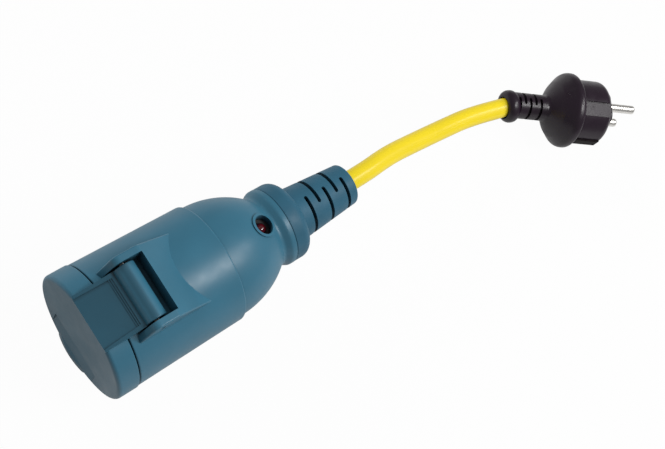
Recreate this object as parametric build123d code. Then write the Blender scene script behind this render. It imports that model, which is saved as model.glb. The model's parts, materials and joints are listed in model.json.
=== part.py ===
from build123d import *
import os
from math import asin, atan2, cos, degrees, pi, radians, sin, tan

# Earthed extension adapter: a coupling socket with a sprung lid and a pilot lamp, a short cable
# and a moulded plug. Millimetres. The sizes are written on the coupler's own axis, with X = 0 at
# the lid's outer face and +X towards the cable. Everything is then set down on the floor.

# Lid
LID_R = 32.0
LID_LENGTH = 11.1
LID_FACE = 2.6
LID_WALL = 2.4
LID_EDGE = 2.0
LIP_REACH = 0.9
LIP_DROP = 0.6
LIP_HALF = 11.4
LIP_RISE = 6.0
LIP_BACK = 7.5
LIP_ROUND = 0.8
LIP_CORNER = 2.0
LIP_BOW_R = 47.0
SCOOP_TOP_Z = -12.4
SCOOP_DEPTH = 1.3
SCOOP_HALF = 17.2

# Strap from the lid's face back to the hinge barrel
STRAP_HALF = 14.0
STRAP_DROP = 2.9
STRAP_SLOPE = 0.26
STRAP_THICK = 3.0
STRAP_ROUND = 0.7
PANEL_FRONT_HALF = 12.9
PANEL_REAR_HALF = 11.8
PANEL_DEPTH = 0.5
PANEL_END_X = 18.6
RIB_COUNT = 3
RIB_PITCH = 0.95
RIB_WIDTH = 0.45
RIB_HEIGHT = 0.95

# Hinge
HINGE_X = 24.9
HINGE_RISE = 2.9
BARREL_R = 5.1
BARREL_HALF = 13.8
PIN_R = 1.6
PIN_RUNNING = 0.05
PIN_SEAT = 0.02
EAR_HALF = 18.3
POCKET_HALF = 14.8
POCKET_ROOM = 1.4
WINDOW_END_X = 34.1
HUMP_FOOT_X = 15.5
HUMP_SINK = 9.0
HUMP_NOSE = 4.0
HUMP_FRONT_X = 21.0
HUMP_OVER = 6.0
HUMP_FRONT_ROUND = 4.0
HUMP_REAR_ROUND = 2.5
HUMP_CREST_X = 33.0
HUMP_SLOPE = 0.752
HUMP_EDGE = 0.8
SPRING_WIRE_R = 0.45
SPRING_R = 2.75
SPRING_PITCH = 1.35
SPRING_TURNS = 6
SPRING_ROOM = 0.5
SPRING_LEG_R = 0.42
SPRING_LEG_LAP = 0.2

# Front housing
LID_GAP = 0.6
LID_STEP = 0.45
BODY_TAPER = 0.95
BODY_EDGE = 0.8
FRONT_WALL = 3.0
SEAM_X = 70.9
SEAM_GAP = 0.2
HOUSING_WALL = 2.6
HINGE_PAD = 2.9
HINGE_PAD_HALF = 20.0
BULKHEAD_X = 51.0
BULKHEAD = 3.0
SPIGOT_SKIN = 2.3
CORE_HOLE_R = 4.2
EARTH_HOLE_R = 2.6
EARTH_CORE_Z = -10.0

# Socket insert
INSERT_R = 24.0
CARRIER_STEP = 1.0
INSERT_FIT = 0.25
RIM_GAP = 0.3
WELL_R = 19.75
WELL_DEPTH = 17.5
WELL_FLOOR = 4.0
ENTRY_R = 3.2
CHAMBER_R = 4.4
CONTACT_Y = 9.5
GUIDE_HALF = 3.7
GUIDE_INNER = 17.4
GUIDE_START = 2.4
INSERT_EDGE = 0.8
SEAL_OVER = 1.0
SEAL_LIP = 0.15
SEAL_THICK = 1.7

# Contacts and earth bracket
CONTACT_R = 4.0
CONTACT_BORE_R = 2.42
CONTACT_START = 0.4
CONTACT_LENGTH = 23.0
CONTACT_SLIT = 0.6
GRIP_DEPTH = 15.0
TERMINAL_BACK = 4.5
TERMINAL_ROOM = 2.5
CORE_R = 1.6
CORE_FIT = 0.15
TERMINAL_SCREW_R = 1.5
TERMINAL_SCREW_LENGTH = 4.0
SCREW_FIT = 0.05
ACCESS_R = 2.1
EARTH_STRIP = 0.8
EARTH_HALF = 2.6
EARTH_ARM_Z = 18.8
EARTH_SLOT_Z = 17.2
EARTH_SLOT_OUT = 21.4
EARTH_SLOT_HALF = 3.1
EARTH_TIP_X = 10.0
EARTH_BOW_X = 14.0
EARTH_BOW_END_X = 18.5
EARTH_BOW_Z = 16.6
EARTH_BASE_BACK = 1.0
EARTH_BASE_ROOM = 1.2
EARTH_TIP_ROOM = 1.5

# Central insert screw
FIX_SCREW_R = 2.0
FIX_HEAD_R = 3.8
FIX_HEAD = 2.1
FIX_HEAD_SINK = 0.2
FIX_BORE_R = 2.1
HEAD_BORE_R = 4.0
FIX_NUT_R = 4.0
FIX_NUT = 3.0
FIX_END = 0.6
DRIVE_WIDTH = 0.9
DRIVE_DEPTH = 1.2

# Rear housing
SEAM_STEP = 1.4
SHOULDER_START = 1.5
SHOULDER_END_X = 100.2
SHOULDER_FOOT = 1.87
NECK_X = 102.9
NECK_R = 18.1
FLARE_X = 106.9
FLARE_R = 20.3
REAR_END_X = 109.3
NECK_ROUND = 2.5
FLARE_ROUND = 3.0
END_WALL = 3.0
SPIGOT_FIT = 0.3
SPIGOT_WALL = 3.5
SPIGOT_REACH = 8.9
SPIGOT_ROOT = 3.1
SEAL_GROOVE_BACK = 4.4
SEAL_GROOVE_HALF = 1.25
SEAL_GROOVE_DEPTH = 1.9
SEAL_RING_R = 1.05
SEAL_RING_FIT = 0.05

# Pilot lamp and its board
LAMP_X = 96.7
LAMP_HOLE_R = 5.05
LAMP_RIM_R = 6.4
LAMP_RIM_RISE = 0.6
LAMP_TUBE_Z = 11.0
LAMP_R = 3.1
LAMP_TOP_Z = 17.6
LAMP_FLANGE_R = 3.5
LAMP_FLANGE = 0.8
HOLDER_FIT = 0.1
HOLDER_TOP_Z = 14.4
BOARD_X = 81.5
BOARD_END_X = 102.3
BOARD_HALF = 10.4
BOARD_Z = 9.0
BOARD_THICK = 1.6
LEDGE_HALF = 9.0
LEDGE_THICK = 1.5
RESISTOR_R = 1.3
RESISTOR_LENGTH = 6.0
PART_LEAD_R = 0.3
PART_LEAD_OUT = 1.2
PART_LEAD_BEND = 0.8
PARTS_X = 83.6
PARTS_Y = 6.0
CAPACITOR_SIZE = (7.0, 5.6, 5.2)
LEAD_R = 0.6
LEAD_Z = 2.6
LEAD_BEND = 4.0
LEAD_EXIT = 6.0
LEAD_STRAIGHT = 3.0

# Cable, clamp and bend sleeve
CABLE_R = 5.35
CABLE_FIT = 0.07
SHEATH_END_X = 83.5
CORE_LAY_R = 2.6
CORE_BEND = 8.0
CORE_EXIT = 7.0
CORE_STRAIGHT = 5.0
CORE_SEAT = 2.2
CLAMP_X = 85.5
CLAMP_LENGTH = 7.0
CLAMP_HALF = 12.6
CLAMP_THICK = 2.4
CLAMP_GAP = 0.4
CLAMP_SCREW_Y = 9.9
CLAMP_SCREW_R = 1.5
CLAMP_SCREW_LENGTH = 9.0
CLAMP_HEAD_R = 2.4
CLAMP_HEAD = 1.1
SLEEVE_GAP = 0.15
SLEEVE_END_X = 155.8
COLLAR_STEP = 0.1
COLLAR_EDGE = 0.6
COLLAR_REAR_X = 118.7
COLLAR_FOOT_X = 119.8
SLEEVE_R = 13.8
SLEEVE_TIP_R = 10.95
COLLAR_ROUND = 4.8
SLEEVE_FOOT_ROUND = 1.6
SLEEVE_TIP_ROUND = 1.2
GRIP_R = 9.0
GRIP_FIT = 0.2
GRIP_FLANGE_R = 11.5
GRIP_FLANGE = 3.0
SLEEVE_SLOT_X = 126.9
SLEEVE_SLOT_PITCH = 5.68
SLEEVE_SLOT_WIDTH = 1.9
SLEEVE_SLOT_FLOOR_R = 7.4
SLOT_COUNT = 5
SLOT_SPAN = 200.0

# Plug, measured from its face, with negative distances towards the cable
PLUG_AZIMUTH = -32.7
PLUG_BODY_R = 18.1
PLUG_BODY_LENGTH = 19.8
PLUG_FACE_ROUND = 4.0
PLUG_FACE_SINK = 1.1
FLANGE_RISE = 3.1
FLANGE_LENGTH = 4.8
FLANGE_EDGE = 2.2
FLANGE_BACK_ROUND = 4.5
CONE_RUN = 5.4
CONE_DROP = 5.6
CONE_ROUND = 5.0
PLUG_SLEEVE_R = 7.3
CONE_TAPER = 5.6
PLUG_SLEEVE_ROUND = 2.0
PLUG_SLEEVE_LENGTH = 22.3
BEAD_ASIDE = -1.15
BEAD_R = 9.1
BEAD_HALF = 3.8
BEAD_ROUND = 3.4
BEAD_AZIMUTH = -24.0
MOUTH_R = 6.1
MOUTH_SINK = 1.0
PLUG_SLOT_START = 5.3
PLUG_SLOT_PITCH = -3.3
PLUG_SLOT_WIDTH = 1.6
PLUG_SLOT_FLOOR_R = 5.9
GROOVE_HALF = 4.1
GROOVE_TURN = 17.0
GROOVE_FLOOR = 15.9
BRIDGE_R = 13.0
BRIDGE_DEPTH = 12.0
BRIDGE_FIT = 0.02
PLATEAU_HALF_WIDTH = 9.2
PLATEAU_HALF_HEIGHT = 12.6
PLATEAU_CORNER = 5.0
PLATEAU_RISE = 0.9
PLUG_PIN_R = 2.4
PLUG_PIN_LENGTH = 17.0
PLUG_PIN_TIP = 1.2
SHANK_R = 2.0
SHANK_DEPTH = 14.0
CLIP_HALF = 2.9
CLIP_ROOM = 0.2
CLIP_INNER = 17.0
CLIP_OUTER = 18.9
CLIP_FRONT = -4.0
CLIP_BACK = -19.4
CLIP_BASE_X = -15.6
CLIP_BASE = 1.0

# The free cable's route on the floor frame, worked out after the coupler is set down
ROUTE = [
    (78.35, 0.0, 32.6),
    (91.0, 0.0, 32.6),
    (110.5, 1.9, 29.7),
    (130.0, 1.2, 26.0),
    (150.5, 0.2, 22.9),
    (174.5, -1.6, 21.2),
    (197.1, -7.4, 21.2),
]
ARC_SHARE = 0.45

# Places and radii that follow from the sizes above
COUPLER_MID_X = (SLEEVE_END_X - LIP_REACH) / 2
FLOOR_Z = -LID_R - LIP_DROP
BODY_X = LID_LENGTH + LID_GAP
BODY_FRONT_R = LID_R - LID_STEP
BODY_REAR_R = BODY_FRONT_R - BODY_TAPER
REAR_R = BODY_REAR_R - SEAM_STEP
FRONT_CAVITY_R = BODY_REAR_R - HOUSING_WALL
SPIGOT_BORE_R = BODY_REAR_R - SPIGOT_SKIN
SPIGOT_R = SPIGOT_BORE_R - SPIGOT_FIT
SEAL_GROOVE_R = SPIGOT_R - SEAL_GROOVE_DEPTH
SPIGOT_X = SEAM_X - SPIGOT_REACH
SPIGOT_ROOT_X = SEAM_X + SPIGOT_ROOT
SEAL_GROOVE_X = SEAM_X - SEAL_GROOVE_BACK
SHOULDER_X = SEAM_X + SHOULDER_START
SHOULDER_FALL = REAR_R - NECK_R - SHOULDER_FOOT
SHOULDER_R = ((SHOULDER_END_X - SHOULDER_X) ** 2 + SHOULDER_FALL**2) / (2 * SHOULDER_FALL)
STRAP_FRONT_Z = LID_R - STRAP_DROP
HINGE_Z = LID_R + HINGE_RISE
HUMP_TOP_Z = HINGE_Z + HUMP_OVER
POCKET_FLOOR_Z = HINGE_Z - BARREL_R - POCKET_ROOM
HINGE_PAD_Z = POCKET_FLOOR_Z - HINGE_PAD
RIM_X = LID_FACE + SEAL_THICK + RIM_GAP
SEAL_R = INSERT_R + SEAL_OVER
SEAL_BORE_R = WELL_R - SEAL_LIP
WELL_END_X = RIM_X + WELL_DEPTH
CHAMBER_X = WELL_END_X + WELL_FLOOR
INSERT_END_X = BULKHEAD_X
CONTACT_X = CHAMBER_X + CONTACT_START
CONTACT_END_X = CONTACT_X + CONTACT_LENGTH
SLEEVE_X = REAR_END_X + SLEEVE_GAP
COLLAR_R = FLARE_R - COLLAR_STEP
FLANGE_R = PLUG_BODY_R + FLANGE_RISE
FLANGE_BACK_X = -PLUG_BODY_LENGTH - FLANGE_LENGTH
CONE_X = FLANGE_BACK_X - CONE_RUN
PLUG_SLEEVE_X = CONE_X - CONE_TAPER
PLUG_SLOT_X = PLUG_SLEEVE_X - PLUG_SLOT_START
BEAD_X = PLUG_SLEEVE_X - PLUG_SLEEVE_LENGTH
CONE_R = FLANGE_R - CONE_DROP
TERMINAL_X = CONTACT_END_X - TERMINAL_BACK
EARTH_BASE_X = INSERT_END_X - EARTH_BASE_BACK
STRAP_TILT = degrees(atan2(STRAP_SLOPE, 1))


def along_x(radius, start, end, y=0.0, z=0.0):
    centred = (Align.CENTER, Align.CENTER, Align.MIN)
    return Pos(start, y, z) * Rot(0, 90, 0) * Cylinder(radius, end - start, align=centred)


def along_y(radius, start, end, x, z):
    centred = (Align.CENTER, Align.CENTER, Align.MIN)
    return Pos(x, start, z) * Rot(-90, 0, 0) * Cylinder(radius, end - start, align=centred)


def along_z(radius, start, end, x, y):
    centred = (Align.CENTER, Align.CENTER, Align.MIN)
    return Pos(x, y, start) * Cylinder(radius, end - start, align=centred)


def block(x_span, y_span, z_span):
    middle = [(low + high) / 2 for low, high in (x_span, y_span, z_span)]
    size = [high - low for low, high in (x_span, y_span, z_span)]
    return Pos(*middle) * Box(*size)


def rounded_face(points, rounds=()):
    face = make_face(Polyline(*points, close=True))
    for corner, radius in rounds:
        nearest = face.vertices().sort_by_distance((*corner, 0))[0]
        face = fillet(nearest, radius)
    return face


def lathe(points, rounds=()):
    return revolve(rounded_face(points, rounds), Axis.X, 360)


def prism(points, half_width, rounds=()):
    return extrude(Plane.XZ * rounded_face(points, rounds), half_width, both=True)


def strap_top(x):
    return STRAP_FRONT_Z + STRAP_SLOPE * x


def relief_slot(x, width, floor_radius, outer_radius, side):
    # A slot cut round one side of a bend sleeve, with round ends
    low, high = x - width / 2, x + width / 2
    corners = [(low, floor_radius), (high, floor_radius), (high, outer_radius), (low, outer_radius)]
    slot = revolve(rounded_face(corners), Axis.X, SLOT_SPAN)
    for angle in (0, SLOT_SPAN):
        length = outer_radius - floor_radius
        end = Pos(x, 0, floor_radius) * Cylinder(
            width / 2, length, align=(Align.CENTER, Align.CENTER, Align.MIN)
        )
        slot += Rot(angle - 90, 0, 0) * end
    turn = (180 if side < 0 else 0) - SLOT_SPAN / 2
    return Rot(turn, 0, 0) * slot


def relief_slots(first_x, pitch, width, floor_radius, outer_radius):
    slots = []
    for index in range(SLOT_COUNT):
        side = -1 if index % 2 == 0 else 1
        slots.append(relief_slot(first_x + index * pitch, width, floor_radius, outer_radius, side))
    return slots


def hinge_hump():
    foot = BODY_FRONT_R - HUMP_SINK
    rear_foot_x = HUMP_CREST_X + (HUMP_TOP_Z - foot) / HUMP_SLOPE
    outline = [
        (HUMP_FOOT_X, foot),
        (HUMP_FOOT_X, foot + HUMP_NOSE),
        (HUMP_FRONT_X, HUMP_TOP_Z),
        (HUMP_CREST_X, HUMP_TOP_Z),
        (rear_foot_x, foot),
    ]
    rounds = [(outline[2], HUMP_FRONT_ROUND), (outline[3], HUMP_REAR_ROUND)]
    hump = prism(outline, EAR_HALF, rounds)
    sides = hump.faces().sort_by(Axis.Y)
    return fillet(sides[0].edges() + sides[-1].edges(), HUMP_EDGE)


def front_housing():
    shell = lathe(
        [(BODY_X, 0), (BODY_X, BODY_FRONT_R), (SEAM_X, BODY_REAR_R), (SEAM_X, 0)],
        [((BODY_X, BODY_FRONT_R), BODY_EDGE), ((SEAM_X, BODY_REAR_R), BODY_EDGE)],
    )
    shell += hinge_hump()
    bulkhead_end = BULKHEAD_X + BULKHEAD
    cavity = along_x(FRONT_CAVITY_R, BODY_X + FRONT_WALL, BULKHEAD_X)
    pad = block((BODY_X, BULKHEAD_X), (-HINGE_PAD_HALF, HINGE_PAD_HALF), (HINGE_PAD_Z, LID_R))
    shell -= cavity - pad
    shell -= along_x(SPIGOT_BORE_R, bulkhead_end, SEAM_X + 1)
    shell -= along_x(INSERT_R + INSERT_FIT, BODY_X - 1, BODY_X + FRONT_WALL + 1)
    pocket_z = (POCKET_FLOOR_Z, HUMP_TOP_Z + 5)
    shell -= block((BODY_X - 1, WINDOW_END_X), (-POCKET_HALF, POCKET_HALF), pocket_z)
    shell -= along_y(PIN_R + PIN_SEAT, -EAR_HALF - 1, EAR_HALF + 1, HINGE_X, HINGE_Z)
    leg_y = -POCKET_HALF - SPRING_ROOM - 2
    shell -= along_y(SPRING_WIRE_R + PIN_SEAT, leg_y, -POCKET_HALF + 1, HINGE_X, HINGE_Z + SPRING_R)
    for side in (-1, 1):
        shell -= along_x(CORE_HOLE_R, BULKHEAD_X - 1, bulkhead_end + 1, side * CONTACT_Y)
    shell -= along_x(EARTH_HOLE_R, BULKHEAD_X - 1, bulkhead_end + 1, 0, EARTH_CORE_Z)
    shell -= along_x(FIX_SCREW_R + SCREW_FIT, BULKHEAD_X - 1, bulkhead_end + 1)
    return shell


def shoulder_outline(inset, end_x):
    # The convex shoulder as an arc, offset inwards by the wall
    radius = SHOULDER_R - inset
    centre = (SHOULDER_X, REAR_R - SHOULDER_R)
    sweep = asin((end_x - SHOULDER_X) / radius)
    middle = (centre[0] + radius * sin(sweep / 2), centre[1] + radius * cos(sweep / 2))
    end = (end_x, centre[1] + radius * cos(sweep))
    start = (SHOULDER_X, REAR_R - inset)
    return start, ThreePointArc(start, middle, end), end


def rear_outer():
    start, arc, end = shoulder_outline(0, SHOULDER_END_X)
    neck, flare, rim = (NECK_X, NECK_R), (FLARE_X, FLARE_R), (REAR_END_X, FLARE_R)
    seam = SEAM_X + SEAM_GAP
    lines = Polyline(end, neck, flare, rim, (REAR_END_X, 0), (seam, 0), (seam, REAR_R), start)
    face = make_face([arc, *lines.edges()])
    for corner, radius in ((neck, NECK_ROUND), (flare, FLARE_ROUND)):
        face = fillet(face.vertices().sort_by_distance((*corner, 0))[0], radius)
    return revolve(face, Axis.X, 360)


def rear_cavity():
    start, arc, end = shoulder_outline(HOUSING_WALL, NECK_X - 1)
    inner_end, open_x = REAR_END_X - END_WALL, SPIGOT_X - 1
    path = [end, (inner_end, end[1]), (inner_end, 0), (open_x, 0), (open_x, start[1]), start]
    face = make_face([arc, *Polyline(*path).edges()])
    return revolve(face, Axis.X, 360)


def lamp_rim():
    # A round rim that follows the shoulder and stands a little proud of it
    start, arc, end = shoulder_outline(-LAMP_RIM_RISE, LAMP_X + LAMP_RIM_R + 2)
    lines = Polyline(end, (end[0], 0), (start[0], 0), start)
    proud = revolve(make_face([arc, *lines.edges()]), Axis.X, 360)
    return proud & along_z(LAMP_RIM_R, LAMP_TUBE_Z, REAR_R, LAMP_X, 0)


def rear_housing():
    outer = rear_outer()
    shell = outer - rear_cavity()
    spigot = along_x(SPIGOT_R, SPIGOT_X, SPIGOT_ROOT_X)
    spigot -= along_x(SPIGOT_R - SPIGOT_WALL, SPIGOT_X - 1, SPIGOT_ROOT_X + 1)
    groove_low, groove_high = SEAL_GROOVE_X - SEAL_GROOVE_HALF, SEAL_GROOVE_X + SEAL_GROOVE_HALF
    ring = along_x(SPIGOT_R + 1, groove_low, groove_high)
    spigot -= ring - along_x(SEAL_GROOVE_R, groove_low, groove_high)
    shell += spigot
    clamp_span = (CLAMP_X, CLAMP_X + CLAMP_LENGTH)
    pad = block(clamp_span, (-CLAMP_HALF, CLAMP_HALF), (-REAR_R, -CLAMP_GAP))
    for side in (-1, 1):
        ledge_y = sorted((side * LEDGE_HALF, side * REAR_R))
        pad += block((BOARD_X, BOARD_END_X), ledge_y, (BOARD_Z - LEDGE_THICK, BOARD_Z))
    shell += pad & outer
    shell += lamp_rim()
    shell -= along_z(LAMP_HOLE_R, LAMP_TUBE_Z - 1, REAR_R + 1, LAMP_X, 0)
    shell -= along_x(CABLE_R + CABLE_FIT, SHEATH_END_X, REAR_END_X)
    shell -= along_x(GRIP_R + GRIP_FIT, REAR_END_X - END_WALL - 1, REAR_END_X + 1)
    for side in (-1, 1):
        shell -= clamp_screw_body(side, SCREW_FIT, 0.3)
    return shell


def housing_seal():
    ring_centre = SPIGOT_BORE_R - SEAL_RING_R - SEAL_RING_FIT
    return Pos(SEAL_GROOVE_X, 0, 0) * Rot(0, 90, 0) * Torus(ring_centre, SEAL_RING_R)


def lid_cap():
    inner = LID_R - LID_WALL
    outline = [(0, 0), (0, LID_R), (LID_LENGTH, LID_R), (LID_LENGTH, inner), (LID_FACE, inner), (LID_FACE, 0)]
    cap = lathe(outline, [((0, LID_R), LID_EDGE), ((LID_LENGTH, LID_R), 0.4)])
    above = [(-1, strap_top(-1)), (BODY_X, strap_top(BODY_X)), (BODY_X, LID_R + 4), (-1, LID_R + 4)]
    return cap - prism(above, STRAP_HALF)


def thumb_lip():
    # A flat-footed lip across the bottom edge, bowed in front, which a thumb pushes to lift the lid
    top_z = LIP_RISE - LID_R
    outline = [
        (LIP_BACK, FLOOR_Z),
        (LIP_BACK, top_z),
        (0, top_z),
        (-2 * LIP_REACH, FLOOR_Z),
    ]
    lip = prism(outline, LIP_HALF)
    lip = fillet(lip.edges().filter_by(Axis.X).sort_by(Axis.Z)[:2], LIP_CORNER)
    lip &= along_z(LIP_BOW_R, FLOOR_Z - 1, top_z + 1, LIP_BOW_R - LIP_REACH, 0)
    front = lip.faces().sort_by(Axis.X)[0]
    lip = fillet(front.edges().sort_by(Axis.Z)[0], LIP_ROUND)
    return lip - along_x(LID_R - LID_WALL, LID_FACE, LIP_BACK + 1)


def thumb_scoop():
    outline = [
        (-1, SCOOP_TOP_Z),
        (SCOOP_DEPTH, SCOOP_TOP_Z),
        (0, -LID_R + LIP_RISE),
        (-1, -LID_R + LIP_RISE),
    ]
    return prism(outline, SCOOP_HALF)


def strap():
    end_x = HINGE_X - BARREL_R / 2
    outline = [
        (0, strap_top(0) - STRAP_THICK),
        (0, strap_top(0)),
        (end_x, strap_top(end_x)),
        (end_x, strap_top(end_x) - STRAP_THICK),
    ]
    return prism(outline, STRAP_HALF, [((0, strap_top(0)), STRAP_ROUND)])


def strap_plane():
    tilt = radians(STRAP_TILT)
    return Plane((0, 0, STRAP_FRONT_Z), x_dir=(cos(tilt), 0, sin(tilt)), z_dir=(-sin(tilt), 0, cos(tilt)))


def panel_length():
    return PANEL_END_X / cos(radians(STRAP_TILT))


def strap_panel():
    # The shallow recess in the strap's top, open at the lid's face
    end = panel_length()
    panel = rounded_face([
        (-STRAP_THICK, -PANEL_FRONT_HALF),
        (end, -PANEL_REAR_HALF),
        (end, PANEL_REAR_HALF),
        (-STRAP_THICK, PANEL_FRONT_HALF),
    ])
    return strap_plane() * Pos(0, 0, -PANEL_DEPTH) * extrude(panel, STRAP_THICK)


def strap_ribs():
    ribs = []
    for index in range(RIB_COUNT):
        u = panel_length() - index * RIB_PITCH - RIB_WIDTH / 2
        rib = Box(RIB_WIDTH, 2 * PANEL_REAR_HALF, RIB_HEIGHT)
        ribs.append(strap_plane() * Pos(u, 0, -PANEL_DEPTH) * rib)
    return ribs


def hinge_barrel():
    barrel = along_y(BARREL_R, -BARREL_HALF, BARREL_HALF, HINGE_X, HINGE_Z)
    return fillet(barrel.edges().filter_by(GeomType.CIRCLE), 0.5)


def lid():
    shape = lid_cap() - thumb_scoop() + thumb_lip() + strap() + hinge_barrel() - strap_panel()
    for rib in strap_ribs():
        shape += rib
    shape -= along_y(PIN_R + PIN_RUNNING, -BARREL_HALF - 1, BARREL_HALF + 1, HINGE_X, HINGE_Z)
    spring_room = SPRING_R + SPRING_WIRE_R + SPRING_ROOM
    shape -= along_y(spring_room, -BARREL_HALF - 1, -BARREL_HALF + spring_length() + 1, HINGE_X, HINGE_Z)
    return shape


def lid_seal():
    start, end = LID_FACE, LID_FACE + SEAL_THICK
    outline = [(start, SEAL_BORE_R), (start, SEAL_R), (end, SEAL_R), (end, SEAL_BORE_R)]
    return lathe(outline, [((end, SEAL_R), 0.5), ((end, SEAL_BORE_R), 0.5)])


def hinge_pin():
    pin = along_y(PIN_R, -EAR_HALF + 0.3, EAR_HALF - 0.3, HINGE_X, HINGE_Z)
    return chamfer(pin.edges().filter_by(GeomType.CIRCLE), 0.3)


def spring_length():
    return SPRING_PITCH * SPRING_TURNS


def lid_spring():
    # A torsion spring round the pin, with one straight leg in the ear
    coil = Helix(SPRING_PITCH, spring_length(), SPRING_R)
    start = Plane(coil @ 0, z_dir=coil % 0)
    wire = sweep(start * Circle(SPRING_WIRE_R), path=coil, is_frenet=True)
    turned = Pos(HINGE_X, -BARREL_HALF + 0.4, HINGE_Z) * Rot(-90, 0, 0) * Rot(0, 0, -90) * wire
    leg_y = -POCKET_HALF - SPRING_ROOM - 1.6
    leg_end = -BARREL_HALF + 0.4 + SPRING_LEG_LAP
    leg = along_y(SPRING_LEG_R, leg_y, leg_end, HINGE_X, HINGE_Z + SPRING_R)
    return turned + leg


def earth_slots():
    # The ways for the earth bracket's two arms, from the well's wall to the base
    slots = []
    for side in (-1, 1):
        slot_z = sorted((side * EARTH_SLOT_Z, side * EARTH_SLOT_OUT))
        slot_y = (-EARTH_SLOT_HALF, EARTH_SLOT_HALF)
        slots.append(block((EARTH_TIP_X - EARTH_TIP_ROOM, INSERT_END_X + 1), slot_y, slot_z))
    return slots


def socket_insert():
    # The round well that takes the mating plug, with its guide ribs and its floor
    edge = ((RIM_X, INSERT_R), INSERT_EDGE)
    insert = lathe([(RIM_X, 0), (RIM_X, INSERT_R), (CHAMBER_X, INSERT_R), (CHAMBER_X, 0)], [edge])
    well = along_x(WELL_R, RIM_X - 1, WELL_END_X)
    for side in (-1, 1):
        guide_y = sorted((side * GUIDE_INNER, side * INSERT_R))
        well -= block((RIM_X + GUIDE_START, WELL_END_X), guide_y, (-GUIDE_HALF, GUIDE_HALF))
    insert -= well
    insert -= along_x(HEAD_BORE_R, WELL_END_X - 1, WELL_END_X + FIX_HEAD_SINK + FIX_HEAD)
    insert -= along_x(FIX_BORE_R, WELL_END_X, CHAMBER_X + 1)
    for side in (-1, 1):
        insert -= along_x(ENTRY_R, WELL_END_X - 1, CHAMBER_X + 1, side * CONTACT_Y)
    return insert - earth_slots()


def contact_carrier():
    # The block behind the well, with a chamber for each contact
    radius = INSERT_R - CARRIER_STEP
    carrier = along_x(radius, CHAMBER_X, INSERT_END_X) - along_x(FIX_BORE_R, CHAMBER_X - 1, INSERT_END_X + 1)
    for side in (-1, 1):
        carrier -= along_x(CHAMBER_R, CHAMBER_X - 1, INSERT_END_X + 1, side * CONTACT_Y)
        access_y = sorted((side * (CONTACT_Y + CONTACT_R - 1), side * (radius + 1)))
        carrier -= along_y(ACCESS_R, *access_y, TERMINAL_X, 0)
    base_x = (EARTH_BASE_X - EARTH_BASE_ROOM, INSERT_END_X + 1)
    carrier -= block(base_x, (-EARTH_SLOT_HALF, EARTH_SLOT_HALF), (-EARTH_SLOT_OUT, EARTH_SLOT_OUT))
    return carrier - earth_slots()


def socket_contact(side):
    y = side * CONTACT_Y
    contact = along_x(CONTACT_R, CONTACT_X, CONTACT_END_X, y)
    contact -= along_x(CONTACT_BORE_R, CONTACT_X - 1, CONTACT_X + GRIP_DEPTH, y)
    contact -= along_x(CORE_R + CORE_FIT, TERMINAL_X - TERMINAL_ROOM, CONTACT_END_X + 1, y)
    slit = (-CONTACT_SLIT / 2, CONTACT_SLIT / 2)
    contact -= block((CONTACT_X - 1, CONTACT_X + GRIP_DEPTH - 2), (y - CONTACT_R - 1, y + CONTACT_R + 1), slit)
    screw_y = sorted((y, y + side * (CONTACT_R + 1)))
    contact -= along_y(TERMINAL_SCREW_R + SCREW_FIT, *screw_y, TERMINAL_X, 0)
    return contact


def terminal_screws():
    screws = []
    for side in (-1, 1):
        tip = side * (CONTACT_Y + CORE_R + 0.2)
        head = tip + side * TERMINAL_SCREW_LENGTH
        screw = along_y(TERMINAL_SCREW_R, *sorted((tip, head)), TERMINAL_X, 0)
        slot_y = sorted((head - side * 0.9, head + side))
        screw -= block((TERMINAL_X - 2, TERMINAL_X + 2), slot_y, (-0.3, 0.3))
        screws.append(screw)
    return screws


def earth_bracket():
    inner, outer = EARTH_ARM_Z, EARTH_ARM_Z + EARTH_STRIP
    base_x = EARTH_BASE_X - EARTH_STRIP / 2
    bracket = block((base_x - EARTH_STRIP / 2, base_x + EARTH_STRIP / 2), (-EARTH_HALF, EARTH_HALF), (-outer, outer))
    bow = [
        (EARTH_TIP_X, inner),
        (EARTH_BOW_X, EARTH_BOW_Z),
        (EARTH_BOW_END_X, inner),
        (base_x, inner),
        (base_x, outer),
        (EARTH_BOW_END_X - 0.3, outer),
        (EARTH_BOW_X, EARTH_BOW_Z + EARTH_STRIP),
        (EARTH_TIP_X, outer),
    ]
    for side in (-1, 1):
        bracket += prism([(x, side * z) for x, z in bow], EARTH_HALF)
    return bracket - along_x(FIX_BORE_R, base_x - 2, base_x + 2)


def insert_screw():
    head_x = WELL_END_X + FIX_HEAD_SINK
    end_x = BULKHEAD_X + BULKHEAD + FIX_NUT + FIX_END
    screw = along_x(FIX_HEAD_R, head_x, head_x + FIX_HEAD)
    screw = fillet(screw.edges().sort_by(Axis.X)[0], 0.8)
    screw += along_x(FIX_SCREW_R, head_x + FIX_HEAD / 2, end_x)
    half = DRIVE_WIDTH / 2
    return screw - block((head_x - 1, head_x + DRIVE_DEPTH), (-FIX_HEAD_R, FIX_HEAD_R), (-half, half))


def insert_nut():
    nut_x = BULKHEAD_X + BULKHEAD
    hexagon = extrude(RegularPolygon(FIX_NUT_R, 6), FIX_NUT)
    nut = Pos(nut_x, 0, 0) * Rot(0, 90, 0) * hexagon
    return nut - along_x(FIX_SCREW_R + SCREW_FIT, nut_x - 1, nut_x + FIX_NUT + 1)


def circuit_board():
    board = block((BOARD_X, BOARD_END_X), (-BOARD_HALF, BOARD_HALF), (BOARD_Z, BOARD_Z + BOARD_THICK))
    corners = board.edges().filter_by(Axis.Z)
    return fillet(corners, 1.5)


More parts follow.
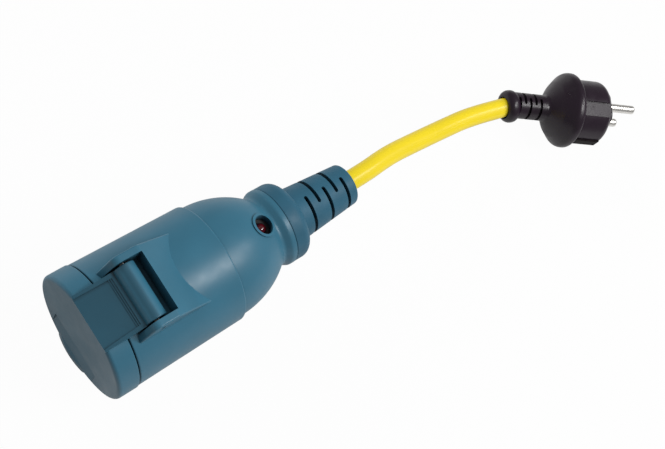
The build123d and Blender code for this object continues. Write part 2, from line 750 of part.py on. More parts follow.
def pilot_lamp():
    base = BOARD_Z + BOARD_THICK
    lamp = along_z(LAMP_FLANGE_R, base, base + LAMP_FLANGE, LAMP_X, 0)
    lamp += along_z(LAMP_R, base, LAMP_TOP_Z - LAMP_R, LAMP_X, 0)
    return lamp + Pos(LAMP_X, 0, LAMP_TOP_Z - LAMP_R) * Sphere(LAMP_R)


def lamp_holder():
    base = BOARD_Z + BOARD_THICK
    holder = along_z(LAMP_HOLE_R - HOLDER_FIT, base, HOLDER_TOP_Z, LAMP_X, 0)
    holder -= along_z(LAMP_FLANGE_R + HOLDER_FIT, base - 1, base + LAMP_FLANGE + HOLDER_FIT, LAMP_X, 0)
    return holder - along_z(LAMP_R + HOLDER_FIT, base, HOLDER_TOP_Z + 1, LAMP_X, 0)


def lamp_resistor():
    base = BOARD_Z + BOARD_THICK
    axis_z = base + RESISTOR_R + 0.4
    start, end = PARTS_X, PARTS_X + RESISTOR_LENGTH
    resistor = fillet(along_x(RESISTOR_R, start, end, -PARTS_Y, axis_z).edges().filter_by(GeomType.CIRCLE), 0.4)
    near, far = start - PART_LEAD_OUT, end + PART_LEAD_OUT
    points = [(near, base), (near, axis_z), (far, axis_z), (far, base)]
    return resistor + bent_wire([(x, -PARTS_Y, z) for x, z in points], PART_LEAD_R, PART_LEAD_BEND)


def lamp_capacitor():
    base = BOARD_Z + BOARD_THICK
    length, width, height = CAPACITOR_SIZE
    x, y = PARTS_X, PARTS_Y - width / 2
    body = block((x, x + length), (y, y + width), (base, base + height))
    return fillet(body.edges().sort_by(Axis.Z)[-4:], 0.6)


def cable_sleeve():
    bore = CABLE_R + CABLE_FIT
    grip_end = REAR_END_X - END_WALL - 0.15
    outline = [
        (grip_end - GRIP_FLANGE, bore),
        (grip_end - GRIP_FLANGE, GRIP_FLANGE_R),
        (grip_end, GRIP_FLANGE_R),
        (grip_end, GRIP_R),
        (SLEEVE_X, GRIP_R),
        (SLEEVE_X, COLLAR_R),
        (COLLAR_REAR_X, COLLAR_R),
        (COLLAR_FOOT_X, SLEEVE_R),
        (SLEEVE_END_X, SLEEVE_TIP_R),
        (SLEEVE_END_X, bore),
    ]
    rounds = [
        (outline[5], COLLAR_EDGE),
        (outline[6], COLLAR_ROUND),
        (outline[7], SLEEVE_FOOT_ROUND),
        (outline[8], SLEEVE_TIP_ROUND),
    ]
    sleeve = lathe(outline, rounds)
    for slot in relief_slots(
        SLEEVE_SLOT_X, SLEEVE_SLOT_PITCH, SLEEVE_SLOT_WIDTH, SLEEVE_SLOT_FLOOR_R, SLEEVE_R + 2
    ):
        sleeve -= slot
    return sleeve


def clamp_top_z():
    return CABLE_R + CLAMP_THICK


def cable_clamp():
    span = (CLAMP_X, CLAMP_X + CLAMP_LENGTH)
    clamp = block(span, (-CLAMP_HALF, CLAMP_HALF), (0, CLAMP_THICK))
    clamp += along_x(clamp_top_z(), *span) & block(span, (-CLAMP_HALF, CLAMP_HALF), (0, clamp_top_z()))
    clamp -= along_x(CABLE_R + CABLE_FIT, span[0] - 1, span[1] + 1)
    middle = CLAMP_X + CLAMP_LENGTH / 2
    for side in (-1, 1):
        clamp -= along_z(CLAMP_SCREW_R + SCREW_FIT, -1, CLAMP_THICK + 1, middle, side * CLAMP_SCREW_Y)
    return clamp


def clamp_screw_body(side, growth=0.0, extra=0.0):
    middle = CLAMP_X + CLAMP_LENGTH / 2
    low = CLAMP_THICK - CLAMP_SCREW_LENGTH - extra
    return along_z(CLAMP_SCREW_R + growth, low, CLAMP_THICK, middle, side * CLAMP_SCREW_Y)


def clamp_screws():
    screws = []
    middle = CLAMP_X + CLAMP_LENGTH / 2
    for side in (-1, 1):
        y = side * CLAMP_SCREW_Y
        head = along_z(CLAMP_HEAD_R, CLAMP_THICK, CLAMP_THICK + CLAMP_HEAD, middle, y)
        screws.append(clamp_screw_body(side) + head)
    return screws


def cable_end():
    return along_x(CABLE_R, SHEATH_END_X, SLEEVE_END_X)


def bent_wire(points, radius, bend):
    path = FilletPolyline(*points, radius=bend)
    start = Plane(path @ 0, z_dir=path % 0)
    return sweep(start * Circle(radius), path=path)


def core(angle, y, z, end_x):
    # One insulated core from the sheath's end to its terminal
    turn = radians(angle)
    lay_y, lay_z = CORE_LAY_R * cos(turn), CORE_LAY_R * sin(turn)
    far_x = BULKHEAD_X + BULKHEAD + CORE_STRAIGHT
    near_x = SHEATH_END_X - CORE_EXIT
    points = [(SHEATH_END_X, lay_y, lay_z), (near_x, lay_y, lay_z), (far_x, y, z), (end_x, y, z)]
    return bent_wire(points, CORE_R, CORE_BEND)


def lamp_leads():
    leads = []
    lead_z = BOARD_Z + BOARD_THICK / 2
    far_x = BULKHEAD_X + BULKHEAD + LEAD_STRAIGHT
    for side in (-1, 1):
        points = [
            (BOARD_X, side * PARTS_Y, lead_z),
            (BOARD_X - LEAD_EXIT, side * PARTS_Y, lead_z),
            (far_x, side * CONTACT_Y, LEAD_Z),
            (CONTACT_END_X, side * CONTACT_Y, LEAD_Z),
        ]
        leads.append(bent_wire(points, LEAD_R, LEAD_BEND))
    return leads


def route_vectors():
    return [Vector(*point) for point in ROUTE]


def mains_cable():
    # Straight runs joined by arcs as large as the runs allow
    points = route_vectors()
    runs = [b - a for a, b in zip(points, points[1:])]
    radii = []
    for before, after in zip(runs, runs[1:]):
        half_turn = radians(before.get_angle(after)) / 2
        radii.append(ARC_SHARE * min(before.length, after.length) / tan(half_turn))
    path = FilletPolyline(*points, radius=radii)
    tube = sweep(Plane(path @ 0, z_dir=path % 0) * Circle(CABLE_R), path=path)
    drift = tube.volume / (pi * CABLE_R**2 * path.length) - 1
    print("cable radii", [round(radius, 1) for radius in radii])
    print("cable length", round(path.length, 1), "volume drift", round(drift, 6))
    return tube


def plug_axis():
    return Vector(cos(radians(PLUG_AZIMUTH)), sin(radians(PLUG_AZIMUTH)), 0)


def cable_arrival():
    # Where the cable ends inside the plug's bead, and the way it points there
    points = route_vectors()
    return points[-1], (points[-1] - points[-2]).normalized()


def bead_centre():
    end, way = cable_arrival()
    return end + way * MOUTH_SINK


def plug_place():
    # The plug's face, found from the bead, which the relief's bend sets a little aside
    aside = plug_axis().rotate(Axis.Z, 90) * BEAD_ASIDE
    face = bead_centre() - plug_axis() * BEAD_X - aside
    return Pos(face.X, face.Y, face.Z) * Rot(0, 0, PLUG_AZIMUTH)


def plug_bead():
    centre = bead_centre()
    outline = [(-BEAD_HALF, 0), (-BEAD_HALF, BEAD_R), (BEAD_HALF, BEAD_R), (BEAD_HALF, 0)]
    ring = lathe(outline, [(outline[1], BEAD_ROUND), (outline[2], BEAD_ROUND)])
    return Pos(centre.X, centre.Y, centre.Z) * Rot(0, 0, BEAD_AZIMUTH) * ring


def plug_mouth():
    end, way = cable_arrival()
    azimuth = degrees(atan2(way.Y, way.X))
    return Pos(end.X, end.Y, end.Z) * Rot(0, 0, azimuth) * along_x(MOUTH_R, -2 * BEAD_HALF, 0)


def clip_recess(side):
    inner, outer = CLIP_INNER - 0.05, PLUG_BODY_R + 1
    room = CLIP_HALF + CLIP_ROOM
    return block((-PLUG_BODY_LENGTH, CLIP_FRONT + CLIP_ROOM), sorted((side * inner, side * outer)), (-room, room))


def clip_base(growth):
    base = (CLIP_BASE_X - growth, CLIP_BASE_X + CLIP_BASE + growth)
    reach = CLIP_INNER + 0.5
    half = CLIP_HALF + growth
    return block(base, (-reach, reach), (-half, half))


def plug_housing():
    sleeve_end = BEAD_X + 1
    outline = [
        (sleeve_end, 0),
        (sleeve_end, PLUG_SLEEVE_R),
        (PLUG_SLEEVE_X, PLUG_SLEEVE_R),
        (CONE_X, CONE_R),
        (FLANGE_BACK_X, FLANGE_R),
        (-PLUG_BODY_LENGTH, FLANGE_R),
        (-PLUG_BODY_LENGTH, PLUG_BODY_R),
        (-PLUG_FACE_SINK, PLUG_BODY_R),
        (-PLUG_FACE_SINK, 0),
    ]
    rounds = [
        (outline[2], PLUG_SLEEVE_ROUND),
        (outline[3], CONE_ROUND),
        (outline[4], FLANGE_BACK_ROUND),
        (outline[5], FLANGE_EDGE),
        (outline[7], PLUG_FACE_ROUND),
    ]
    body = lathe(outline, rounds)
    for slot in relief_slots(
        PLUG_SLOT_X, PLUG_SLOT_PITCH, PLUG_SLOT_WIDTH, PLUG_SLOT_FLOOR_R, PLUG_SLEEVE_R + 2
    ):
        body -= slot
    body -= along_x(BRIDGE_R + BRIDGE_FIT, -BRIDGE_DEPTH, 1)
    body -= clip_base(BRIDGE_FIT)
    for side in (-1, 1):
        groove_z = sorted((side * GROOVE_FLOOR, side * (PLUG_BODY_R + 1)))
        groove = block((-PLUG_BODY_LENGTH, 1), (-GROOVE_HALF, GROOVE_HALF), groove_z)
        body -= Rot(GROOVE_TURN, 0, 0) * groove
        body -= clip_recess(side)
        body -= along_x(SHANK_R + BRIDGE_FIT, -SHANK_DEPTH - 0.1, 0, 0, side * CONTACT_Y)
    return plug_place() * body + plug_bead() - plug_mouth()


def plug_bridge():
    bridge = along_x(BRIDGE_R, -BRIDGE_DEPTH, -PLUG_FACE_SINK)
    width, height = 2 * PLATEAU_HALF_WIDTH, 2 * PLATEAU_HALF_HEIGHT
    plateau = extrude(Plane.YZ * RectangleRounded(width, height, PLATEAU_CORNER), PLATEAU_RISE + PLUG_FACE_SINK)
    bridge += Pos(-PLUG_FACE_SINK, 0, 0) * plateau
    for side in (-1, 1):
        bridge -= along_x(SHANK_R + BRIDGE_FIT, -BRIDGE_DEPTH - 1, PLATEAU_RISE + 1, 0, side * CONTACT_Y)
    return plug_place() * bridge


def plug_pin(side):
    z = side * CONTACT_Y
    pin = along_x(PLUG_PIN_R, PLATEAU_RISE, PLUG_PIN_LENGTH, 0, z)
    pin = fillet(pin.edges().sort_by(Axis.X)[-1], PLUG_PIN_TIP)
    return plug_place() * (pin + along_x(SHANK_R, -SHANK_DEPTH, PLATEAU_RISE + 1, 0, z))


def plug_earth_clips():
    clips = clip_base(0)
    for side in (-1, 1):
        strip = block((CLIP_BACK, CLIP_FRONT), sorted((side * CLIP_INNER, side * CLIP_OUTER)), (-CLIP_HALF, CLIP_HALF))
        outer_face = strip.faces().sort_by(Axis.Y)[-1 if side > 0 else 0]
        clips += fillet(outer_face.edges(), 0.5)
    return plug_place() * clips


def set_down(shape):
    # From the coupler's axis to the floor, with the coupler's middle at X = 0
    return Pos(-COUPLER_MID_X, 0, -FLOOR_Z) * shape


def on_coupler():
    return {
        "front_housing": [front_housing()],
        "rear_housing": [rear_housing()],
        "housing_seal": [housing_seal()],
        "lid": [lid()],
        "lid_seal": [lid_seal()],
        "hinge_pin": [hinge_pin()],
        "lid_spring": [lid_spring()],
        "socket_insert": [socket_insert()],
        "contact_carrier": [contact_carrier()],
        "live_contact": [socket_contact(-1)],
        "neutral_contact": [socket_contact(1)],
        "terminal_screws": terminal_screws(),
        "earth_bracket": [earth_bracket()],
        "insert_screw": [insert_screw()],
        "insert_nut": [insert_nut()],
        "circuit_board": [circuit_board()],
        "pilot_lamp": [pilot_lamp()],
        "lamp_holder": [lamp_holder()],
        "lamp_resistor": [lamp_resistor()],
        "lamp_capacitor": [lamp_capacitor()],
        "lamp_leads": lamp_leads(),
        "cable_sleeve": [cable_sleeve()],
        "cable_clamp": [cable_clamp()],
        "clamp_screws": clamp_screws(),
        "cable_end": [cable_end()],
        "live_core": [core(150, -CONTACT_Y, 0, TERMINAL_X - CORE_SEAT)],
        "neutral_core": [core(30, CONTACT_Y, 0, TERMINAL_X - CORE_SEAT)],
        "earth_core": [core(270, 0, EARTH_CORE_Z, EARTH_BASE_X)],
    }


def on_cable():
    return {
        "mains_cable": [mains_cable()],
        "plug_housing": [plug_housing()],
        "plug_bridge": [plug_bridge()],
        "plug_live_pin": [plug_pin(1)],
        "plug_neutral_pin": [plug_pin(-1)],
        "plug_earth_clips": [plug_earth_clips()],
    }


def write_node(name, solids):
    shape = solids[0] if len(solids) == 1 else Compound(children=solids)
    export_step(shape, os.path.join("parts", name + ".step"))


os.makedirs("parts", exist_ok=True)
for node, pieces in on_coupler().items():
    write_node(node, [set_down(piece) for piece in pieces])
for node, pieces in on_cable().items():
    write_node(node, pieces)
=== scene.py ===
import json
from collections import namedtuple

import bpy
from mathutils import Matrix, Vector

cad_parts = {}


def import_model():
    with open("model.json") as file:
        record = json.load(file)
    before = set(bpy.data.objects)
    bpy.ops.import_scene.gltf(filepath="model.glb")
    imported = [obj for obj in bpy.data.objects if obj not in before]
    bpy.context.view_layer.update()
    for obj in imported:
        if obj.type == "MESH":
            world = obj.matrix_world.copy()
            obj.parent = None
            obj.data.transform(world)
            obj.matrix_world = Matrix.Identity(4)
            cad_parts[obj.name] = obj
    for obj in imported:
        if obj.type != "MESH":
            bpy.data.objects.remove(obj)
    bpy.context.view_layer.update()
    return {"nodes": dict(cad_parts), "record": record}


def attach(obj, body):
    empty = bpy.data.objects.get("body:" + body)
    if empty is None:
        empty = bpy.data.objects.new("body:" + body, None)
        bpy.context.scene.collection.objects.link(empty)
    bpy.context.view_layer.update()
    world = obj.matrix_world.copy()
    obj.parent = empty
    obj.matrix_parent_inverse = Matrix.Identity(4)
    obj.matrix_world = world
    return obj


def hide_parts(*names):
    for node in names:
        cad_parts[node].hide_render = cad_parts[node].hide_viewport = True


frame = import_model()

# The photograph's camera: its place, near and far limits in metres, its right and up directions,
# and its lens and sensor in millimetres
CAMERA_PLACE = (-0.19768, -0.06163, 0.55751)
CAMERA_NEAR = 0.01
CAMERA_FAR = 20.0
CAMERA_RIGHT = (0.769893, -0.546889, 0.328899)
CAMERA_UP = (0.462898, 0.833337, 0.302095)
CAMERA_LENS = 63.592
CAMERA_SENSOR = 36.0

# The free cable: its route's control points, its radius and its length, in metres
ROUTE = [
    (0.07835, 0.0, 0.0326),
    (0.0910, 0.0, 0.0326),
    (0.1105, 0.0019, 0.0297),
    (0.1300, 0.0012, 0.0260),
    (0.1505, 0.0002, 0.0229),
    (0.1745, -0.0016, 0.0212),
    (0.1971, -0.0074, 0.0212),
]
CABLE_R = 0.00535

# The spline's order, and how finely its spans and the tube round it are divided
SPLINE_ORDER = 3
SPLINE_STEPS = 24
TUBE_STEPS = 8

# The studio's lights: place, aim, width and height in metres, power in watts, and whether gloss
# mirrors them. They aim at the middle of the coupler or of the cable.
COUPLER = (0.0, 0.0, 0.03)
CABLE = (0.13, 0.0, 0.03)
Light = namedtuple("Light", "name place aim size power mirrored")
LIGHTS = [
    Light("key", (0.72, -0.62, 0.56), COUPLER, (0.40, 0.40), 8.1, mirrored=False),
    Light("top", (0.36, -0.42, 1.00), COUPLER, (0.24, 0.24), 5.3, mirrored=True),
    Light("far", (0.66, -0.22, 0.78), CABLE, (0.14, 0.14), 1.2, mirrored=True),
    Light("rim", (-0.05, 0.90, 0.45), COUPLER, (0.40, 0.30), 7.0, mirrored=False),
]

# The white surroundings: how strongly they light the object, how bright gloss mirrors them, and how
# bright the camera sees them
WORLD_LIGHT = 0.34
WORLD_MIRRORED = 0.28
WORLD_SEEN = 1.0

# The floor: its side in metres, how white the camera and gloss see it, and the share of light that
# it throws back at the object
FLOOR_SIZE = 6.0
FLOOR_GLOW = 0.97
FLOOR_MIRRORED = 0.25
FLOOR_ALBEDO = 0.42
FLOOR_ROUGHNESS = 0.9

# Painted shade in grooves and corners, drawn from ambient occlusion into the base colour: how near a
# wall it reaches, in metres, the darkest factor, and the open share of a place where the painted shade
# is full and where it ends
HOLLOW_REACH = 0.0035
HOLLOW_PAINTED_SHADE = 0.35
HOLLOW_DEEP = 0.2
HOLLOW_OPEN = 0.85

# The lid's strap, whose top gets painted shade that makes it darker than the rest of the lid: the
# direction that its top faces, the painted shade's factor, and how well a place faces that way where the
# painted shade starts and where it is full
STRAP_UP = (-0.2516, 0.0, 0.9678)
STRAP_PAINTED_SHADE = 0.64
STRAP_START = 0.9
STRAP_FULL = 0.985

# The noise values between which a tone, a gloss or another factor runs from its low to its high end
NOISE_LOW = 0.3
NOISE_HIGH = 0.7

# The stripes of the earth core: how close they are, in the wave texture's measure, and their share
STRIPE_SCALE = 260.0
STRIPE_SHARE = 0.5

# Colours, linear
WHITE = (1.0, 1.0, 1.0)
PETROL = (0.024, 0.105, 0.160)
PETROL_SLEEVE = (0.020, 0.080, 0.125)
SEAL_BLACK = (0.012, 0.012, 0.013)
CABLE_YELLOW = (0.64, 0.495, 0.010)
PLUG_BLACK = (0.010, 0.0045, 0.010)
BRIDGE_BLACK = (0.011, 0.006, 0.011)
INSERT_GREY = (0.028, 0.028, 0.030)
NICKEL = (0.88, 0.86, 0.82)
# Painted shade: the nickel of the plug's side contacts darkened to near black
CLIP_SHADED_NICKEL = (0.020, 0.016, 0.018)
STEEL = (0.52, 0.52, 0.52)
BRASS = (0.78, 0.58, 0.26)
LAMP_RED = (0.08, 0.003, 0.006)
BOARD_TAN = (0.42, 0.28, 0.12)
RESISTOR_TAN = (0.50, 0.34, 0.18)
CAPACITOR_OCHRE = (0.62, 0.36, 0.03)
LEAD_RED = (0.45, 0.015, 0.015)
LIVE_BROWN = (0.13, 0.045, 0.020)
NEUTRAL_BLUE = (0.02, 0.10, 0.42)
EARTH_GREEN = (0.03, 0.30, 0.05)
EARTH_YELLOW = (0.75, 0.62, 0.02)

# A finish varies a surface's tone between two factors and its roughness by a spread, and gives it
# relief of a strength and a depth in metres. Each follows a noise, whose scale is in waves a metre.
# Its factors along x, y and z draw it out into lines along the axis whose factor is small.
Noise = namedtuple("Noise", "scale detail factors", defaults=[None])
Tone = namedtuple("Tone", "noise darker lighter")
Gloss = namedtuple("Gloss", "noise spread")
Relief = namedtuple("Relief", "noise strength depth")
Finish = namedtuple("Finish", "tone gloss relief")

# Factors that draw a noise out along one axis
ALONG_X = (0.1, 1.0, 1.0)
ALONG_Y = (1.0, 0.1, 1.0)
ALONG_Z = (1.0, 1.0, 0.1)


def lined_metal(factors):
    # Turned or rolled metal, with fine lines along an axis
    lines = Noise(2600.0, 3.0, factors)
    return Finish(
        Tone(Noise(120.0, 4.0), darker=0.9, lighter=1.06),
        Gloss(lines, spread=0.07),
        Relief(lines, strength=0.2, depth=0.00002),
    )


# Spark-eroded moulding texture, with slow changes of tone and gloss
MOULDED = Finish(
    Tone(Noise(34.0, 4.0), darker=0.92, lighter=1.08),
    Gloss(Noise(110.0, 5.0), spread=0.04),
    Relief(Noise(1700.0, 2.0), strength=0.35, depth=0.00003),
)
# The circuit board's coarser weave
BOARD = MOULDED._replace(relief=MOULDED.relief._replace(noise=Noise(500.0, 2.0)))
RUBBER = Finish(
    Tone(Noise(60.0, 5.0), darker=0.88, lighter=1.12),
    Gloss(Noise(210.0, 4.0), spread=0.07),
    Relief(Noise(900.0, 3.0), strength=0.3, depth=0.00005),
)
# Drawn sheath, with faint lines along it
SHEATH = Finish(
    Tone(Noise(45.0, 4.0, (0.4, 1.0, 1.0)), darker=0.95, lighter=1.04),
    Gloss(Noise(160.0, 4.0, (0.3, 1.0, 1.0)), spread=0.04),
    Relief(Noise(700.0, 2.0, (0.05, 1.0, 1.0)), strength=0.04, depth=0.00003),
)
LENS = Finish(
    Tone(Noise(420.0, 3.0), darker=0.75, lighter=1.25),
    None,
    Relief(Noise(900.0, 2.0), strength=0.1, depth=0.00002),
)
INSULATION_RELIEF = Relief(Noise(900.0, 3.0), strength=0.2, depth=0.00004)

# The specular level of rubber, which mirrors less than moulded plastic
RUBBER_SPECULAR = 0.3

# Each material slot: its colour, roughness and finish, and what else its shader has. The surface that
# has the strap gets painted shade on the strap's top.
Surface = namedtuple(
    "Surface",
    "colour roughness finish metallic coat specular strap",
    defaults=[None, 0.0, 0.0, 0.5, False],
)
SURFACES = {
    "shell": Surface(PETROL, 0.4, MOULDED),
    # The lid's strap top gets painted shade
    "lid": Surface(PETROL, 0.4, MOULDED, strap=True),
    "sleeve": Surface(PETROL_SLEEVE, 0.5, RUBBER, specular=RUBBER_SPECULAR),
    "seal_rubber": Surface(SEAL_BLACK, 0.6, RUBBER, specular=RUBBER_SPECULAR),
    "insert": Surface(INSERT_GREY, 0.5, MOULDED),
    "contact_brass": Surface(BRASS, 0.25, lined_metal(ALONG_X), metallic=1.0),
    "nickel": Surface(NICKEL, 0.3, lined_metal(ALONG_Z), metallic=1.0),
    "steel": Surface(STEEL, 0.28, lined_metal(ALONG_X), metallic=1.0),
    "board": Surface(BOARD_TAN, 0.5, BOARD),
    "lamp": Surface(LAMP_RED, 0.12, LENS, coat=0.6),
    "resistor": Surface(RESISTOR_TAN, 0.4, MOULDED),
    "capacitor": Surface(CAPACITOR_OCHRE, 0.2, MOULDED, coat=0.3),
    "lead": Surface(LEAD_RED, 0.4, RUBBER, specular=RUBBER_SPECULAR),
    "cable_sheath": Surface(CABLE_YELLOW, 0.3, SHEATH),
    "live_insulation": Surface(LIVE_BROWN, 0.4, RUBBER, specular=RUBBER_SPECULAR),
    "neutral_insulation": Surface(NEUTRAL_BLUE, 0.4, RUBBER, specular=RUBBER_SPECULAR),
    "plug_rubber": Surface(PLUG_BLACK, 0.32, RUBBER, specular=0.42),
    "plug_bridge": Surface(BRIDGE_BLACK, 0.4, MOULDED),
}

# The plug's side contacts have painted shade: the pins' nickel darkened to near black, though the pins
# have the same slot
CLIP_SHADED_SURFACE = Surface(CLIP_SHADED_NICKEL, 0.65, lined_metal(ALONG_Y), metallic=1.0)

# The earth core's insulation has stripes in place of a finish
EARTH_SURFACE = Surface(EARTH_GREEN, 0.4)


def add_node(tree, kind, values=None, **settings):
    # A node with its settings, and with values on its sockets
    made = tree.nodes.new(kind)
    for key, value in settings.items():
        setattr(made, key, value)
    for socket, value in (values or {}).items():
        made.inputs[socket].default_value = value
    return made


def opaque(colour):
    # A colour with the full alpha that sockets ask for
    return (*colour, 1.0)


class Shader:
    """A principled material with its texture nodes placed on object coordinates."""

    def __init__(self, name, surface):
        self.surface = surface
        self.material = bpy.data.materials.new(name)
        self.material.use_nodes = True
        self.tree = self.material.node_tree
        self.bsdf = self.tree.nodes["Principled BSDF"]
        self.bsdf.inputs["Base Color"].default_value = opaque(surface.colour)
        self.bsdf.inputs["Roughness"].default_value = surface.roughness
        self.bsdf.inputs["Metallic"].default_value = surface.metallic
        self.bsdf.inputs["Coat Weight"].default_value = surface.coat
        self.bsdf.inputs["Specular IOR Level"].default_value = surface.specular
        places = self.node("ShaderNodeTexCoord")
        self.coords = places.outputs["Object"]
        self.normals = places.outputs["Normal"]

    def node(self, kind, values=None, **settings):
        return add_node(self.tree, kind, values, **settings)

    def link(self, output, target):
        self.tree.links.new(output, target)

    def noise(self, noise):
        coords = self.coords
        if noise.factors:
            mapping = self.node("ShaderNodeMapping", {"Scale": noise.factors})
            self.link(coords, mapping.inputs["Vector"])
            coords = mapping.outputs["Vector"]
        made = self.node("ShaderNodeTexNoise", {"Scale": noise.scale, "Detail": noise.detail})
        self.link(coords, made.inputs["Vector"])
        return made.outputs["Fac"]

    def spread(self, value, low, high, start=NOISE_LOW, end=NOISE_HIGH):
        # Low where the value is at the start or before, high from the end on
        values = {"From Min": start, "From Max": end, "To Min": low, "To Max": high}
        made = self.node("ShaderNodeMapRange", values)
        self.link(value, made.inputs["Value"])
        return made.outputs["Result"]

    def painted_hollow_shade(self):
        # Painted shade: a factor below 1 in grooves and corners, and 1 on open faces
        made = self.node("ShaderNodeAmbientOcclusion", {"Distance": HOLLOW_REACH})
        return self.spread(made.outputs["AO"], HOLLOW_PAINTED_SHADE, 1.0, HOLLOW_DEEP, HOLLOW_OPEN)

    def painted_strap_shade(self):
        # Painted shade on the strap's top, where the surface faces as its top does, and 1 elsewhere
        made = self.node("ShaderNodeVectorMath", {1: STRAP_UP}, operation="DOT_PRODUCT")
        self.link(self.normals, made.inputs[0])
        return self.spread(made.outputs["Value"], 1.0, STRAP_PAINTED_SHADE, STRAP_START, STRAP_FULL)

    def product(self, first, second):
        made = self.node("ShaderNodeMath", operation="MULTIPLY")
        self.link(first, made.inputs[0])
        self.link(second, made.inputs[1])
        return made.outputs["Value"]

    def tone_and_painted_shade(self, tone):
        made = self.node("ShaderNodeValToRGB")
        low, high = made.color_ramp.elements
        low.position = NOISE_LOW
        high.position = NOISE_HIGH
        low.color = opaque([c * tone.darker for c in self.surface.colour])
        high.color = opaque([min(c * tone.lighter, 1.0) for c in self.surface.colour])
        self.link(self.noise(tone.noise), made.inputs["Fac"])
        # The tone is scaled by painted shade in grooves and corners, and on the strap's top where the
        # surface has the strap
        factor = self.painted_hollow_shade()
        if self.surface.strap:
            factor = self.product(factor, self.painted_strap_shade())
        scaled = self.node("ShaderNodeVectorMath", operation="SCALE")
        self.link(made.outputs["Color"], scaled.inputs[0])
        self.link(factor, scaled.inputs["Scale"])
        self.link(scaled.outputs["Vector"], self.bsdf.inputs["Base Color"])

    def vary_gloss(self, gloss):
        low = self.surface.roughness - gloss.spread
        high = self.surface.roughness + gloss.spread
        self.link(self.spread(self.noise(gloss.noise), low, high), self.bsdf.inputs["Roughness"])

    def add_relief(self, relief):
        made = self.node("ShaderNodeBump", {"Strength": relief.strength, "Distance": relief.depth})
        self.link(self.noise(relief.noise), made.inputs["Height"])
        self.link(made.outputs["Normal"], self.bsdf.inputs["Normal"])


def finished(name, surface):
    # A material with the tone, gloss and relief of its finish, and painted shade in grooves and corners
    shader = Shader(name, surface)
    finish = surface.finish
    shader.tone_and_painted_shade(finish.tone)
    if finish.gloss:
        shader.vary_gloss(finish.gloss)
    shader.add_relief(finish.relief)
    return shader.material


def striped(name, surface, stripe):
    # Insulation with stripes of a second colour along x
    shader = Shader(name, surface)
    wave = shader.node(
        "ShaderNodeTexWave", {"Scale": STRIPE_SCALE}, wave_type="BANDS", bands_direction="Y"
    )
    shader.link(shader.coords, wave.inputs["Vector"])
    made = shader.node("ShaderNodeValToRGB")
    made.color_ramp.interpolation = "CONSTANT"
    ground, band = made.color_ramp.elements
    ground.color = opaque(surface.colour)
    band.position = STRIPE_SHARE
    band.color = opaque(stripe)
    shader.link(wave.outputs["Fac"], made.inputs["Fac"])
    shader.link(made.outputs["Color"], shader.bsdf.inputs["Base Color"])
    shader.add_relief(INSULATION_RELIEF)
    return shader.material


def dress_nodes(slot_materials, node_materials):
    # A node takes its slot's material, unless it has one of its own
    for part in frame["record"]["subparts"]:
        name = part["node"]
        material = node_materials.get(name, slot_materials[part["material_slot"]])
        for material_slot in frame["nodes"][name].material_slots:
            material_slot.material = material


def free_cable(material):
    curve = bpy.data.curves.new("free_cable", "CURVE")
    curve.dimensions = "3D"
    spline = curve.splines.new("NURBS")
    spline.points.add(len(ROUTE) - 1)
    for point, place in zip(spline.points, ROUTE):
        point.co = (*place, 1.0)
    spline.order_u = SPLINE_ORDER
    spline.use_endpoint_u = True
    spline.resolution_u = SPLINE_STEPS
    curve.bevel_depth = CABLE_R
    curve.bevel_resolution = TUBE_STEPS
    curve.use_fill_caps = True
    cable = bpy.data.objects.new("free_cable", curve)
    bpy.context.scene.collection.objects.link(cable)
    curve.materials.append(material)
    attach(cable, "coupler")
    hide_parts("mains_cable")


def floor():
    # A floor that is white to the camera, weaker in gloss, and keeps a faint shadow
    bpy.ops.mesh.primitive_plane_add(size=FLOOR_SIZE, location=(0.0, 0.0, 0.0))
    plane = bpy.context.object
    plane.name = "studio_floor"
    shader = Shader("studio_floor", Surface((FLOOR_ALBEDO, FLOOR_ALBEDO, FLOOR_ALBEDO), FLOOR_ROUGHNESS))
    rays = shader.node("ShaderNodeLightPath")
    glow = shader.node("ShaderNodeEmission", {"Color": opaque(WHITE), "Strength": 1.0})
    mirrored = shader.node("ShaderNodeMath", {1: FLOOR_MIRRORED}, operation="MULTIPLY")
    shader.link(rays.outputs["Is Glossy Ray"], mirrored.inputs[0])
    share = shader.node("ShaderNodeMath", {1: FLOOR_GLOW}, operation="MULTIPLY_ADD")
    shader.link(rays.outputs["Is Camera Ray"], share.inputs[0])
    shader.link(mirrored.outputs["Value"], share.inputs[2])
    mix = shader.node("ShaderNodeMixShader")
    shader.link(share.outputs["Value"], mix.inputs["Fac"])
    shader.link(shader.bsdf.outputs["BSDF"], mix.inputs[1])
    shader.link(glow.outputs["Emission"], mix.inputs[2])
    shader.link(mix.outputs["Shader"], shader.tree.nodes["Material Output"].inputs["Surface"])
    plane.data.materials.append(shader.material)


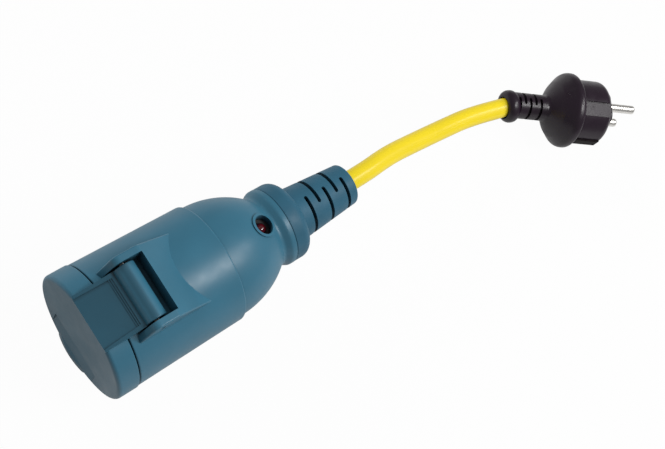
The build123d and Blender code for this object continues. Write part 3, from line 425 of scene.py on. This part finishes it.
def world():
    # Surroundings with one strength as light, one in gloss and one to the camera
    made = bpy.data.worlds.new("studio")
    made.use_nodes = True
    tree = made.node_tree
    rays = add_node(tree, "ShaderNodeLightPath")
    glossy = add_node(tree, "ShaderNodeMapRange", {"To Min": WORLD_LIGHT, "To Max": WORLD_MIRRORED})
    seen = add_node(tree, "ShaderNodeMapRange", {"To Max": WORLD_SEEN})
    tree.links.new(rays.outputs["Is Glossy Ray"], glossy.inputs["Value"])
    tree.links.new(rays.outputs["Is Camera Ray"], seen.inputs["Value"])
    tree.links.new(glossy.outputs["Result"], seen.inputs["To Min"])
    background = tree.nodes["Background"]
    background.inputs["Color"].default_value = opaque(WHITE)
    tree.links.new(seen.outputs["Result"], background.inputs["Strength"])
    bpy.context.scene.world = made


def area_light(light):
    data = bpy.data.lights.new(light.name, "AREA")
    data.shape = "RECTANGLE"
    data.size, data.size_y = light.size
    data.energy = light.power
    lamp = bpy.data.objects.new(light.name, data)
    lamp.location = light.place
    lamp.rotation_mode = "QUATERNION"
    lamp.rotation_quaternion = (Vector(light.aim) - Vector(light.place)).to_track_quat("-Z", "Y")
    lamp.visible_glossy = light.mirrored
    bpy.context.scene.collection.objects.link(lamp)


def camera():
    data = bpy.data.cameras.new("camera")
    data.lens = CAMERA_LENS
    data.sensor_width = CAMERA_SENSOR
    data.clip_start = CAMERA_NEAR
    data.clip_end = CAMERA_FAR
    cam = bpy.data.objects.new("camera", data)
    right, up = Vector(CAMERA_RIGHT), Vector(CAMERA_UP)
    turn = Matrix((right, up, right.cross(up))).transposed()
    cam.matrix_world = Matrix.Translation(CAMERA_PLACE) @ turn.to_4x4()
    bpy.context.scene.collection.objects.link(cam)
    bpy.context.scene.camera = cam


materials = {name: finished(name, surface) for name, surface in SURFACES.items()}
materials["earth_insulation"] = striped("earth_insulation", EARTH_SURFACE, EARTH_YELLOW)
# The plug's side contacts take the nickel with painted shade
dress_nodes(materials, {"plug_earth_clips": finished("clip_nickel_painted_shade", CLIP_SHADED_SURFACE)})
free_cable(materials["cable_sheath"])
floor()
world()
for studio_light in LIGHTS:
    area_light(studio_light)
camera()
bpy.context.scene.view_settings.view_transform = "Standard"
